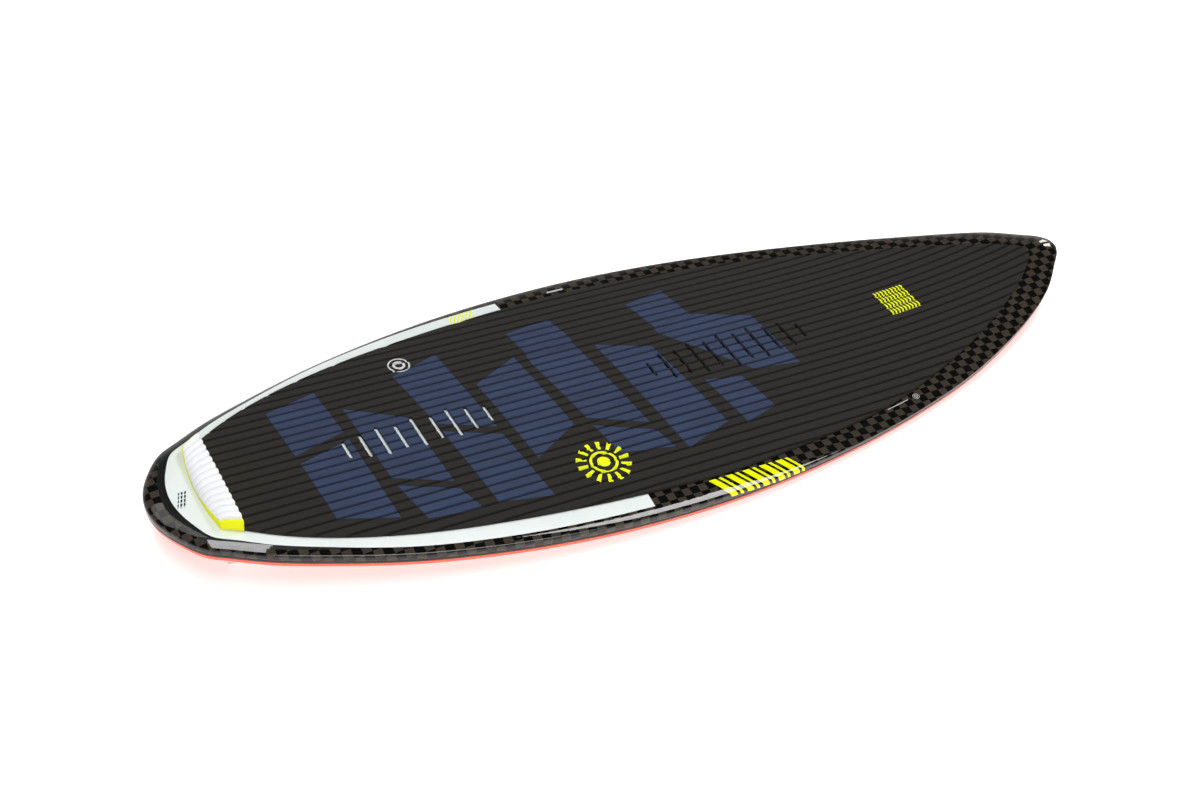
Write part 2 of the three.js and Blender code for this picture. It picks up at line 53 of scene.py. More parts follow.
OUTLINE = [
    (-711, 0), (-692, 59), (-667, 91), (-639, 108), (-593, 133), (-545, 153), (-400, 202),
    (-203, 238), (-2, 247), (198, 229), (391, 188), (567, 123), (644, 80), (688, 40),
    (705, 23), (714, 0),
]
RAIL_APEX = [
    (-714, -8.5), (-600, -13.5), (-450, -18), (-300, -17.5), (-150, -15.5), (0, -13.5),
    (150, -10.5), (300, -6.5), (450, 2.5), (600, 22.5), (714, 49.5),
]
RAIL_EDGE = [
    (-714, -27.5), (-600, -31), (-450, -34.5), (-300, -36.5), (-150, -37), (0, -34.5),
    (150, -30), (300, -24), (450, -15.5), (600, 5.5), (714, 32.5),
]
PAD_OUTLINE = [
    (-616, 86), (-548, 125), (-412, 170), (-275, 194), (-139, 208), (-2, 214), (134, 205),
    (270, 187), (407, 147), (543, 90), (600, 58), (640, 30), (655, 16), (662, 0),
]
NOSE_RISE, NOSE_RISE_START, NOSE_RISE_LENGTH = 57, 124, 578
CROWN = 1.82e-4
BELLY, VEE, FLAT_SHARE = 2, 0.6, 0.22
RAIL_WIDTH = 28
EDGE_INSET = 4
SHELL = 1.6
GAP = 0.3
GLUE = 0.5
SKIRT = 9
BAND_HEIGHT = 3.5

PAD_THICKNESS = 4.5
RIB_PITCH = 15
SLOT_WIDTH, SLOT_PITCH = 5, 25
SLOT_ROWS = [
    (-449, [17, 22, 28, 23, 30, 23, 29, 22, 17]),
    (3, [15, 28, 27, 34, 29, 37, 30, 35, 27, 28, 16]),
]
SHARDS = [
    [(-520, 106), (-446, 124), (-440, 34), (-514, 12)],
    [(-513, -4), (-439, 18), (-433, -138), (-507, -112)],
    [(-424, 78), (-352, 30), (-345, -104), (-417, -70)],
    [(-416, -84), (-344, -118), (-330, -160), (-402, -152)],
    [(-336, 118), (-262, 142), (-250, -30), (-322, 4)],
    [(-321, -12), (-249, -46), (-236, -172), (-308, -158)],
    [(-238, 60), (-164, 96), (-152, -62), (-226, -104)],
    [(-150, 150), (-78, 160), (-70, 112), (-144, 92)],
    [(-148, 76), (-72, 96), (-54, -96), (-130, -58)],
    [(-129, -74), (-53, -112), (-44, -150), (-120, -134)],
    [(-46, 80), (30, 46), (48, -132), (-28, -158)],
    [(44, 150), (112, 164), (120, 98), (56, 84)],
    [(52, 72), (128, 92), (204, 58), (212, -62), (140, -50)],
    [(62, -46), (116, -58), (128, -128), (74, -142)],
]

KICK_FRONT = -616.5
KICK_REAR_MIDDLE, KICK_REAR_END = -649, -641
KICK_HALF_WIDTH, KICK_REAR_HALF = 87, 74
KICK_HEIGHT, KICK_LENGTH, KICK_TOP_THICKNESS = 18, 33.5, 4.5

# The white paint's outer edge and the black band outside it, as insets from the outline.
PAINT_EDGE = [(-711, 30), (-692, 24), (-667, 17), (-630, 15), (-497, 10.5), (-139, 13.5)]
BLACK_WIDTH = [(-711, 9.5), (-667, 10), (-620, 7), (-560, 4), (-495, 0.4)]
PAINT_END = -126
BLACK_END = -495

AROUND = 720
CAP_POINTS = 33

# The deck_face mount is on the flat middle strip of the CAD pad.
MOUNT_X, STRIP_REACH = -100, 40


def level_matrix():
    mount = next(m for m in frame["record"]["mounts"] if m["name"] == "deck_face")
    axis = Vector(mount["axis"])
    turn = Matrix.Rotation(math.atan2(axis.x, axis.z), 4, "Y")
    drawn = Vector((MOUNT_X, 0, PAD_THICKNESS - CROWN * STRIP_REACH ** 2))
    place = Matrix.Translation(Vector(mount["pos_m"])) @ turn @ Matrix.Scale(0.001, 4)
    return place @ Matrix.Translation(-drawn), turn


LEVEL, LEVEL_TURN = level_matrix()


# ---- curves and surfaces

def smooth(pairs, at):
    """A smooth curve through (position, value) pairs, read at one or many positions."""
    places, values = np.array(pairs, float).T
    at = np.asarray(at, float)
    steps = np.diff(places)
    slopes = np.diff(values) / steps
    inner = (slopes[:-1] * steps[1:] + slopes[1:] * steps[:-1]) / (steps[:-1] + steps[1:])
    tangents = np.concatenate([slopes[:1], inner, slopes[-1:]])
    i = np.clip(np.searchsorted(places, at) - 1, 0, len(places) - 2)
    s = np.clip((at - places[i]) / steps[i], 0, 1)
    value = (2 * s ** 3 - 3 * s ** 2 + 1) * values[i] + (3 * s ** 2 - 2 * s ** 3) * values[i + 1]
    bend = (s ** 3 - 2 * s ** 2 + s) * tangents[i] + (s ** 3 - s ** 2) * tangents[i + 1]
    return value + bend * steps[i]


def deck_height(x, y):
    rise = np.maximum(0, (np.asarray(x, float) - NOSE_RISE_START) / NOSE_RISE_LENGTH)
    return NOSE_RISE * rise ** 3 - CROWN * np.asarray(y, float) ** 2


def plan_curve(stations, count):
    """A closed plan curve from half-width stations, with its points crowding to the two ends."""
    tail, nose = stations[0][0], stations[-1][0]
    middle, half = (tail + nose) / 2, (nose - tail) / 2
    by_angle = [(math.acos(max(-1, min(1, (x - middle) / half))), w) for x, w in reversed(stations)]
    angle = 2 * np.pi * np.arange(count) / count
    folded = np.minimum(angle, 2 * np.pi - angle)
    y = np.where(angle <= np.pi, 1, -1) * smooth(by_angle, folded)
    y[0] = y[count // 2] = 0
    return np.column_stack([middle + half * np.cos(folded), y])


def inward_of(curve):
    along = np.roll(curve, -1, 0) - np.roll(curve, 1, 0)
    along /= np.linalg.norm(along, axis=1)[:, None]
    return np.column_stack([-along[:, 1], along[:, 0]])


RIM = plan_curve(OUTLINE, AROUND)
INWARD = inward_of(RIM)
ROOM = np.abs(RIM[:, 1]) / np.maximum(np.abs(INWARD[:, 1]), 1e-6)
ROOM[[0, AROUND // 2]] = ROOM[[1, AROUND // 2 - 1]]
APEX = smooth(RAIL_APEX, RIM[:, 0])
EDGE = smooth(RAIL_EDGE, RIM[:, 0])


def upper_rail(t):
    """Insets and heights of the rail's top at a share t of the way from deck to apex."""
    u = 1 - t
    inner = RIM + INWARD * RAIL_WIDTH
    deck = deck_height(inner[:, 0], inner[:, 1])
    drop = deck - APEX
    inset = RAIL_WIDTH * (u ** 3 + 1.2 * u ** 2 * t)
    height = u ** 3 * deck + 3 * u ** 2 * t * (deck - 0.1 * drop)
    return inset, height + 3 * u * t ** 2 * (APEX + 0.6 * drop) + t ** 3 * APEX


def rail_share(inset):
    """The share t at which the rail's top has an inset."""
    t = np.linspace(1, 0, 401)
    insets = RAIL_WIDTH * ((1 - t) ** 3 + 1.2 * (1 - t) ** 2 * t)
    return np.interp(inset, insets, t)


def top_line(inset):
    """Insets and heights of the line that runs round the hull's top at an inset."""
    inset = np.broadcast_to(np.asarray(inset, float), (AROUND,))
    plan = RIM + INWARD * inset[:, None]
    _, on_rail = upper_rail(rail_share(inset))
    return inset, np.where(inset < RAIL_WIDTH, on_rail, deck_height(plan[:, 0], plan[:, 1]))


def side_line(above_edge):
    """The line that runs round the hull's side at a height above the bottom edge."""
    height = EDGE + above_edge
    return EDGE_INSET * ((APEX - height) / (APEX - EDGE)) ** 1.8, height


# ---- mesh building

def to_row(points):
    matrix = np.array(LEVEL)
    return points @ matrix[:3, :3].T + matrix[:3, 3]


def to_level(points):
    matrix = np.array(LEVEL.inverted())
    return points @ matrix[:3, :3].T + matrix[:3, 3]


def turn_outwards(mesh, cut_up=False):
    """Turns a mesh's faces outwards, with those of over 4 corners cut up first if asked."""
    work = bmesh.new()
    work.from_mesh(mesh)
    if cut_up:
        bmesh.ops.triangulate(work, faces=[f for f in work.faces if len(f.verts) > 4])
    bmesh.ops.recalc_face_normals(work, faces=work.faces)
    work.to_mesh(mesh)
    work.free()


def mesh_object(name, points, faces):
    """An object from level points in millimetres, with its faces turned outwards."""
    mesh = bpy.data.meshes.new(name)
    mesh.from_pydata(to_row(np.asarray(points, float)).tolist(), [], faces)
    turn_outwards(mesh)
    piece = bpy.data.objects.new(name, mesh)
    bpy.context.scene.collection.objects.link(piece)
    return piece


def level_places(piece):
    """Where a piece's points are in the level drawing."""
    places = np.empty(len(piece.data.vertices) * 3)
    piece.data.vertices.foreach_get("co", places)
    return to_level(places.reshape(-1, 3))


def lay(piece, laid=None):
    """Stores where each point lies on the flat drawing, for the materials to read."""
    laid = level_places(piece) if laid is None else laid
    attribute = piece.data.attributes.new("laid", "FLOAT_VECTOR", "POINT")
    attribute.data.foreach_set("vector", np.asarray(laid, float).ravel())


def dress(piece, body, slot, *shaders, sharp=32):
    """Gives a piece its materials, its smooth shading and its body; the slot argument is not used."""
    for shader in shaders:
        piece.data.materials.append(shader)
    piece.data.shade_smooth()
    piece.data.set_sharp_from_angle(angle=math.radians(sharp))
    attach(piece, body)


def loft(rings, caps=True):
    """Points and faces of a skin over rings of equal count, with flat caps or joined ends."""
    count = len(rings[0])
    points = np.concatenate(rings)
    faces = []
    last = len(rings) if not caps else len(rings) - 1
    for k in range(last):
        low, high = k * count, ((k + 1) % len(rings)) * count
        for i in range(count):
            j = (i + 1) % count
            faces.append((low + i, low + j, high + j, high + i))
    if caps:
        faces.append(tuple(range(count - 1, -1, -1)))
        faces.append(tuple(range(len(points) - count, len(points))))
    return points, faces


def ring_of(line):
    inset, height = line
    return np.column_stack([RIM + INWARD * inset[:, None], height])


def stack(*levels):
    """Rings for a loft from (outline, height) levels."""
    return [np.column_stack([outline, np.full(len(outline), z)]) for outline, z in levels]


def offset_lines(lines, by):
    """Lines a thickness inside a section's lines, square to it."""
    insets = np.array([line[0] for line in lines])
    heights = np.array([line[1] for line in lines])
    run = np.gradient(insets, axis=0)
    rise = np.gradient(heights, axis=0)
    length = np.hypot(run, rise)
    return list(zip(insets + by * rise / length, heights - by * run / length))


def cap_rows(ring, height_at, shares, ring_start, start):
    """Points, counted on from a start, and faces of the skin across a ring, from its own start."""
    half = AROUND // 2
    inner = len(shares) - 2
    points, faces = [], []
    for i in range(1, half):
        x, y, _ = ring[i]
        points.extend((x, y * s, height_at(x, y, s)) for s in shares[1:-1])

    def place(i, j):
        if j == 0:
            return ring_start + i
        if j == inner + 1:
            return ring_start + AROUND - i
        return start + (i - 1) * inner + j - 1

    for j in range(inner + 1):
        faces.append((ring_start, place(1, j), place(1, j + 1)))
        faces.append((ring_start + half, place(half - 1, j + 1), place(half - 1, j)))
        for i in range(1, half - 1):
            faces.append((place(i, j), place(i + 1, j), place(i + 1, j + 1), place(i, j + 1)))
    return points, faces


def shell_piece(name, lines, cap_height, inner_cap_height, thickness):
    """A closed shell on the outline: outer lines from the seam to a cap, and an inner skin."""
    inner = offset_lines(lines, thickness)
    rings = [ring_of(line) for line in lines] + [ring_of(line) for line in reversed(inner)]
    points, faces = loft(rings, caps=False)
    count = len(lines)
    outer_start, inner_start = (count - 1) * AROUND, count * AROUND
    walls = faces[:outer_start] + faces[inner_start:]
    shares = np.linspace(1, -1, CAP_POINTS)
    points = [tuple(p) for p in points]
    more, outer_faces = cap_rows(rings[count - 1], cap_height, shares, outer_start, len(points))
    points += more
    more, inner_faces = cap_rows(rings[count], inner_cap_height, shares, inner_start, len(points))
    points += more
    return mesh_object(name, points, walls + outer_faces + inner_faces), len(walls)


def combine(piece, cutter, operation):
    """Applies a boolean with a cutter, and removes the cutter."""
    modifier = piece.modifiers.new("combine", "BOOLEAN")
    modifier.operation = operation
    modifier.solver = "MANIFOLD"
    modifier.object = cutter
    graph = bpy.context.evaluated_depsgraph_get()
    mesh = bpy.data.meshes.new_from_object(piece.evaluated_get(graph))
    mesh.materials.clear()
    mesh.polygons.foreach_set("material_index", np.zeros(len(mesh.polygons), np.int32))
    piece.modifiers.clear()
    piece.data = mesh
    bpy.data.objects.remove(cutter)


def copy_of(piece, name):
    twin = piece.copy()
    twin.data = piece.data.copy()
    twin.name = name
    bpy.context.scene.collection.objects.link(twin)
    return twin


def grow(outline, by):
    """Moves every side of a closed outline outwards by a distance."""
    outline = np.asarray(outline, float)
    ahead = np.roll(outline, -1, 0) - outline
    area = np.sum(outline[:, 0] * np.roll(outline[:, 1], -1)
                  - outline[:, 1] * np.roll(outline[:, 0], -1))
    normal = np.column_stack([ahead[:, 1], -ahead[:, 0]]) * np.sign(area)
    normal /= np.linalg.norm(normal, axis=1)[:, None]
    before = np.roll(normal, 1, 0)
    middle = before + normal
    reach = by / (np.sum(middle * normal, axis=1))
    return outline + middle * reach[:, None]


def fine(outline, step=12):
    """The outline with its long sides divided."""
    points = []
    for (ax, ay), (bx, by) in zip(outline, [*outline[1:], outline[0]]):
        parts = max(1, round(math.hypot(bx - ax, by - ay) / step))
        points += [(ax + (bx - ax) * k / parts, ay + (by - ay) * k / parts) for k in range(parts)]
    return points


def pad_cutter(name, outlines, chamfer, flare):
    """Upright cutters on plan outlines, with a chamfer where they meet the pad's face."""
    points, faces = [], []
    for outline in outlines:
        outline = np.asarray(outline, float)
        tip = grow(outline, chamfer * flare)
        deck = deck_height(outline[:, 0], outline[:, 1]) + PAD_THICKNESS
        tip_deck = deck_height(tip[:, 0], tip[:, 1]) + PAD_THICKNESS
        flat = np.zeros(len(outline))
        rings = [
            np.column_stack([outline, flat - 60]),
            np.column_stack([outline, deck - chamfer]),
            np.column_stack([tip, tip_deck + 0.02]),
            np.column_stack([tip, flat + 90]),
        ]
        more, sides = loft(rings)
        base = len(points)
        points.extend(more.tolist())
        faces.extend(tuple(base + k for k in side) for side in sides)
    cutter = mesh_object(name, points, faces)
    turn_outwards(cutter.data, cut_up=True)
    return cutter


# ---- materials

class Shader:
    """A Principled material's nodes, built by calls that return sockets."""

    def __init__(self, name, **settings):
        self.material = bpy.data.materials.new(name)
        self.material.use_nodes = True
        self.tree = self.material.node_tree
        self.surface = self.tree.nodes["Principled BSDF"]
        self.set(**settings)

    def put(self, socket, value):
        if isinstance(value, bpy.types.NodeSocket):
            self.tree.links.new(value, socket)
        else:
            socket.default_value = value

    def node(self, kind, inputs=(), **settings):
        node = self.tree.nodes.new("ShaderNode" + kind)
        for key, value in settings.items():
            setattr(node, key, value)
        for key, value in dict(inputs).items():
            self.put(node.inputs[key], value)
        return node

    def set(self, **inputs):
        for key, value in inputs.items():
            self.put(self.surface.inputs[key.replace("_", " ")], value)

    def math(self, operation, a, b=0.0, c=0.0):
        return self.node("Math", {0: a, 1: b, 2: c}, operation=operation).outputs[0]

    def plus(self, a, b):
        return self.math("ADD", a, b)

    def minus(self, a, b):
        return self.math("SUBTRACT", a, b)

    def times(self, a, b):
        return self.math("MULTIPLY", a, b)

    def laid(self):
        return self.node("Attribute", attribute_name="laid").outputs["Vector"]

    def object_place(self):
        return self.node("TexCoord").outputs["Object"]

    def split(self, vector):
        return self.node("SeparateXYZ", {0: vector}).outputs[:]

    def scaled(self, vector, x, y, z):
        mapping = self.node("Mapping", {"Vector": vector, "Scale": (x, y, z)})
        return mapping.outputs[0]

    def noise(self, vector, scale, detail=3.0, roughness=0.55):
        inputs = {"Vector": vector, "Scale": scale, "Detail": detail, "Roughness": roughness}
        return self.node("TexNoise", inputs).outputs[0]

    def cells(self, vector, scale):
        return self.node("TexVoronoi", {"Vector": vector, "Scale": scale}).outputs["Distance"]

    def chance(self, vector):
        return self.node("TexWhiteNoise", {"Vector": vector}).outputs["Value"]

    def mix(self, share, a, b):
        node = self.node("Mix", {0: share}, data_type="RGBA")
        self.put(node.inputs[6], a)
        self.put(node.inputs[7], b)
        return node.outputs[2]

    def fit(self, value, low, high, to_low=0.0, to_high=1.0):
        inputs = {0: value, 1: low, 2: high, 3: to_low, 4: to_high}
        return self.node("MapRange", inputs).outputs[0]

    def between(self, value, low, high):
        above = self.math("GREATER_THAN", value, low)
        return self.both(above, self.math("LESS_THAN", value, high))

    both = times

    def either(self, *masks):
        total = masks[0]
        for mask in masks[1:]:
            total = self.math("MAXIMUM", total, mask)
        return total

    def bump(self, height, distance, strength=1.0):
        inputs = {"Height": height, "Distance": distance, "Strength": strength}
        return self.node("Bump", inputs).outputs[0]


def rgb(red, green, blue):
    """A colour from the usual 0-255 numbers, as the shaders count it."""
    value = np.array([red, green, blue]) / 255
    linear = np.where(value <= 0.04045, value / 12.92, ((value + 0.055) / 1.055) ** 2.4)
    return (*linear.tolist(), 1.0)


YELLOW = rgb(240, 248, 12)
PALE = rgb(190, 192, 190)
NAVY = rgb(38, 47, 70), rgb(55, 69, 100)

TOW_WIDTH = 12

# Printed marks, by centre and radius, or by left, right, low and high sides.
SUN = -149, -141, 37
PAD_TICKS = 402, 452, -26, 31
PAD_RING = -318, 138, 15.5
RAIL_RING = 331, -181, 5
RAIL_BARS_START, RAIL_BARS_LENGTH, RAIL_BAR_PITCH = -154, 129, 26
RAIL_BARS_LOW, RAIL_BARS_HIGH = -252, -217


def box_mask(s, x, y, left, right, low, high):
    return s.both(s.between(x, left, right), s.between(y, low, high))


def reach_from(s, x, y, centre_x, centre_y):
    """A place seen from a centre: its two shifts and its distance."""
    dx = s.minus(x, centre_x)
    dy = s.minus(y, centre_y)
    return dx, dy, s.math("SQRT", s.plus(s.both(dx, dx), s.both(dy, dy)))


def sun_mask(s, x, y, centre_x, centre_y, radius):
    """A disc with a ring of short rays round it."""
    dx, dy, reach = reach_from(s, x, y, centre_x, centre_y)
    angle = s.math("ARCTAN2", dy, dx)
    swing = s.math("ABSOLUTE", s.math("SINE", s.times(angle, 7)))
    ray = s.both(s.between(reach, radius * 0.62, radius), s.math("LESS_THAN", swing, 0.55))
    ring = s.between(reach, radius * 0.42, radius * 0.52)
    return s.either(ray, ring, s.math("LESS_THAN", reach, radius * 0.24))


def ticks_mask(s, x, y, left, right, low, high):
    """Four rows of short bowed strokes."""
    row = s.math("FRACT", s.math("DIVIDE", s.minus(y, low), (high - low) / 4))
    middle = s.minus(row, 0.5)
    bowed = s.plus(x, s.times(s.both(middle, middle), 9.0))
    stroke = s.math("FRACT", s.math("DIVIDE", bowed, 5.9))
    strokes = s.both(s.between(stroke, 0.2, 0.68), s.between(row, 0.06, 0.94))
    return s.both(strokes, box_mask(s, x, y, left, right, low, high))


def ring_mask(s, x, y, centre_x, centre_y, radius):
    _, _, reach = reach_from(s, x, y, centre_x, centre_y)
    return s.either(
        s.between(reach, radius * 0.86, radius), s.between(reach, radius * 0.34, radius * 0.58),
    )


def bridge_mask(s, x, y):
    """Two narrow strips of the pad, each between an outer inlay and the one inboard of it."""
    first = s.minus(y, s.times(x, 0.266))
    second = s.minus(y, s.times(x, 0.263))
    return s.either(
        box_mask(s, x, first, -147.0, -71.0, 114.6, 131.0),
        box_mask(s, x, second, 53.0, 122.0, 57.5, 70.0),
    )


def foam_material(name, low, high, grain=0.5, groove_shade=None, printed=False):
    """Closed-cell foam: fine pores, faint mottling, and painted shade in each groove (pitch, one's place, colour).
    """
    s = Shader(name, Roughness=0.88, Sheen_Weight=0.06, Sheen_Roughness=0.5,
               Specular_IOR_Level=0.28)
    laid = s.laid()
    x, y, _ = s.split(laid)
    pores = s.noise(laid, 2.6, 2.0, 0.7)
    mottle = s.noise(s.scaled(laid, 0.012, 0.05, 0.05), 1.0, 4.0, 0.6)
    share = s.plus(s.times(pores, 0.55), s.times(mottle, 0.6))
    tone = s.fit(share, 0.35, 0.8)
    colour = s.mix(tone, low, high)
    if printed:
        colour = s.mix(bridge_mask(s, x, y), colour, s.mix(tone, *NAVY))
    if groove_shade:
        pitch, place, groove_shade_colour = groove_shade
        # Painted shade: near the middle of each groove the colour is mixed towards the groove shade colour.
        from_groove = s.math("PINGPONG", s.minus(y, place), pitch / 2)
        colour = s.mix(s.fit(from_groove, 0.5, 2.3, 0.8, 0.0), colour, groove_shade_colour)
    if printed:
        colour = s.mix(sun_mask(s, x, y, *SUN), colour, YELLOW)
        colour = s.mix(ticks_mask(s, x, y, *PAD_TICKS), colour, YELLOW)
        colour = s.mix(ring_mask(s, x, y, *PAD_RING), colour, rgb(205, 207, 205))
    s.set(Base_Color=colour, Normal=s.bump(s.either(pores, s.noise(laid, 1.1)), 0.0003, grain))
    s.set(Roughness=s.fit(mottle, 0.3, 0.7, 0.8, 0.95))
    return s.material


def rail_bars(s, x, y):
    """Slanted bars of two widths along the starboard rail."""
    slant = s.plus(x, s.times(y, 0.55))
    lean = s.minus(slant, RAIL_BARS_START)
    bar = s.math("FRACT", s.math("DIVIDE", lean, RAIL_BAR_PITCH))
    wide = s.between(bar, 0.06, 0.46)
    thin = s.between(bar, 0.64, 0.82)
    place = box_mask(s, lean, y, 0, RAIL_BARS_LENGTH, RAIL_BARS_LOW, RAIL_BARS_HIGH)
    return s.both(s.either(wide, thin), place)


def rail_marks(s, x, y):
    """A short line and a ring on the starboard rail, and a dash on the port one."""
    along_pad = s.plus(y, s.times(x, -0.16))
    line = box_mask(s, x, along_pad, 277, 316, -233.6, -232.2)
    leant = s.minus(x, s.times(y, 0.5))
    dash = box_mask(s, leant, y, -158, -132, 226, 229.5)
    return s.either(line, ring_mask(s, x, y, *RAIL_RING), dash)


def carbon_material():
    """Spread-tow cloth in 12 mm squares, each with its own fibre direction, under clear gloss."""
    s = Shader("carbon_cloth", Roughness=0.5, Coat_Weight=1.0, Coat_Roughness=0.025,
               Specular_IOR_Level=0.0)
    laid = s.laid()
    x, y, _ = s.split(laid)
    u = s.math("DIVIDE", s.plus(x, 4.0), TOW_WIDTH)
    v = s.math("DIVIDE", s.plus(y, 2.0), TOW_WIDTH)
    wobble = s.times(s.minus(s.noise(laid, 0.05, 2.0), 0.5), 0.22)
    u, v = s.plus(u, wobble), s.minus(v, wobble)
    row, column = s.math("FLOOR", v), s.math("FLOOR", u)
    odd = s.math("MODULO", s.math("ABSOLUTE", s.plus(row, column)), 2.0)
    cell = s.node("CombineXYZ", {0: column, 1: row}).outputs[0]
    shade = s.chance(cell)
    along = s.noise(s.scaled(laid, 0.05, 3.2, 1.0), 1.0, 3.0)
    across = s.noise(s.scaled(laid, 3.2, 0.05, 1.0), 1.0, 3.0)
    fibre = s.node("Mix", {0: odd, 2: across, 3: along}, data_type="FLOAT").outputs[0]
    warp = s.mix(s.fit(fibre, 0.35, 0.7), rgb(45, 40, 34), rgb(80, 72, 61))
    weft = s.mix(s.fit(fibre, 0.35, 0.7), rgb(3, 3, 3), rgb(8, 8, 8))
    warp = s.mix(s.fit(shade, 0.0, 1.0, 0.0, 0.5), warp, rgb(53, 48, 41))
    weft = s.mix(s.fit(shade, 0.0, 1.0, 0.0, 0.35), weft, rgb(14, 13, 12))
    edge_u, edge_v = (s.math("ABSOLUTE", s.minus(s.math("FRACT", at), 0.5)) for at in (u, v))
    seam = s.math("GREATER_THAN", s.math("MAXIMUM", edge_u, edge_v), 0.485)
    colour = s.mix(odd, weft, warp)
    colour = s.mix(s.times(seam, 0.6), colour, rgb(12, 12, 12))
    colour = s.mix(rail_bars(s, x, y), colour, YELLOW)
    colour = s.mix(rail_marks(s, x, y), colour, PALE)
    s.set(Base_Color=colour, Normal=s.bump(s.plus(fibre, seam), 0.00006, 0.5))
    ripple = s.noise(laid, 0.035, 2.0)
    s.set(Coat_Normal=s.bump(ripple, 0.0012, 0.22))
    return s.material


def gloss_paint(name, low, high, roughness=0.3, peel=0.1):
    """Sprayed paint under clear gloss, with a faint drift of tone and orange peel."""
    s = Shader(name, Roughness=roughness, Coat_Weight=1.0, Coat_Roughness=0.03,
               Specular_IOR_Level=0.15)
    laid = s.laid()
    drift = s.noise(laid, 0.02, 4.0, 0.6)
    fleck = s.noise(laid, 1.4, 2.0)
    share = s.plus(s.times(drift, 0.8), s.times(fleck, 0.2))
    s.set(Base_Color=s.mix(s.fit(share, 0.35, 0.65), low, high))
    s.set(Coat_Normal=s.bump(s.noise(laid, 0.16, 2.0), 0.0003, peel))
    return s


def stripes(s, value, pitch, start, end):
    """Stripes of a pitch, each from one share of it to another."""
    return s.between(s.math("FRACT", s.math("DIVIDE", value, pitch)), start, end)


def tail_paint_material():
    """White paint, with a yellow hatch on the port stripe and dark dashes by the tail."""
    s = gloss_paint("tail_paint", rgb(230, 238, 236), rgb(238, 244, 242))
    x, y, _ = s.split(s.laid())
    base = s.surface.inputs["Base Color"].links[0].from_socket
    leant = s.minus(x, s.times(y, 0.6))
    hatch = s.both(stripes(s, leant, 6.0, 0.2, 0.62), box_mask(s, x, y, -208, -166, 196, 245))
    slanted = s.minus(x, s.times(y, 0.35))
    dashes = s.both(stripes(s, slanted, 4.2, 0.2, 0.75), stripes(s, y, 6.7, 0.22, 1.0))
    dashes = s.both(dashes, box_mask(s, slanted, y, -670.5, -658.5, -21, 6))
    colour = s.mix(hatch, base, YELLOW)
    s.set(Base_Color=s.mix(dashes, colour, rgb(34, 52, 58)))
    return s.material


def seam_material():
    s = Shader("seam_rubber", Roughness=0.42)
    laid = s.laid()
    grain = s.noise(laid, 1.2, 3.0)
    s.set(Base_Color=s.mix(s.fit(grain, 0.3, 0.7), rgb(8, 8, 8), rgb(22, 22, 22)))
    s.set(Roughness=s.fit(s.noise(laid, 0.08, 3.0), 0.3, 0.7, 0.3, 0.5))
    s.set(Normal=s.bump(grain, 0.0001, 0.3))
    return s.material


def core_material():
    s = Shader("core_foam_cells", Roughness=0.9)
    place = s.object_place()
    cells = s.cells(place, 260.0)
    s.set(Base_Color=s.mix(s.fit(cells, 0.1, 0.8), rgb(228, 224, 208), rgb(246, 243, 234)))
    s.set(Normal=s.bump(cells, 0.0008, 0.5))
    return s.material


def wood_material():
    s = Shader("stringer_ply", Roughness=0.6)
    place = s.object_place()
    grain = s.noise(s.scaled(place, 9.0, 200.0, 260.0), 1.0, 5.0, 0.6)
    s.set(Base_Color=s.mix(s.fit(grain, 0.3, 0.7), rgb(172, 130, 82), rgb(220, 184, 132)))
    s.set(Normal=s.bump(grain, 0.0003, 0.4))
    return s.material


def plastic_material():
    s = Shader("box_nylon", Roughness=0.5)
    laid = s.laid()
    grain = s.noise(laid, 2.2, 3.0, 0.7)
    s.set(Base_Color=s.mix(s.fit(grain, 0.3, 0.7), rgb(20, 21, 23), rgb(34, 35, 38)))
    s.set(Normal=s.bump(grain, 0.00015, 0.4))
    return s.material


def steel_material():
    s = Shader("screw_steel", Metallic=1.0, Roughness=0.3)
    place = s.object_place()
    scratch = s.noise(s.scaled(place, 900.0, 900.0, 90.0), 1.0, 4.0)
    s.set(Base_Color=s.mix(s.fit(scratch, 0.3, 0.7), rgb(150, 152, 155), rgb(205, 206, 208)))
    s.set(Roughness=s.fit(scratch, 0.3, 0.7, 0.22, 0.42))
    return s.material


def laminate_material():
    """Pale glass laminate: crossed rovings just visible in clear resin."""
    s = Shader("fin_glass", Roughness=0.3, Coat_Weight=1.0, Coat_Roughness=0.05,
               Subsurface_Weight=0.15)
    laid = s.laid()
    x, _, z = s.split(laid)
    warp = s.math("ABSOLUTE", s.math("SINE", s.times(x, 2.6)))
    weft = s.math("ABSOLUTE", s.math("SINE", s.times(z, 2.6)))
    weave = s.times(s.plus(warp, weft), 0.5)
    cloud = s.noise(laid, 0.06, 4.0)
    share = s.plus(s.times(weave, 0.45), s.times(cloud, 0.6))
    s.set(Base_Color=s.mix(s.fit(share, 0.35, 0.8), rgb(176, 190, 192), rgb(226, 232, 230)))
    s.set(Normal=s.bump(weave, 0.00008, 0.4))
    return s.material


# ---- hull

CARBON, PAINT, BLACK = 0, 1, 2
RAIL_STEPS = 12
# White paint shows through the rear row of slots.
REAR_SLOTS_MIDDLE = (-349, 0)
REAR_SLOTS_REACH = (120, 48)


def along_rim(pairs):
    """An inset or a width at each point of the rim, held beyond its ends."""
    return smooth(pairs, np.clip(RIM[:, 0], pairs[0][0], pairs[-1][0]))


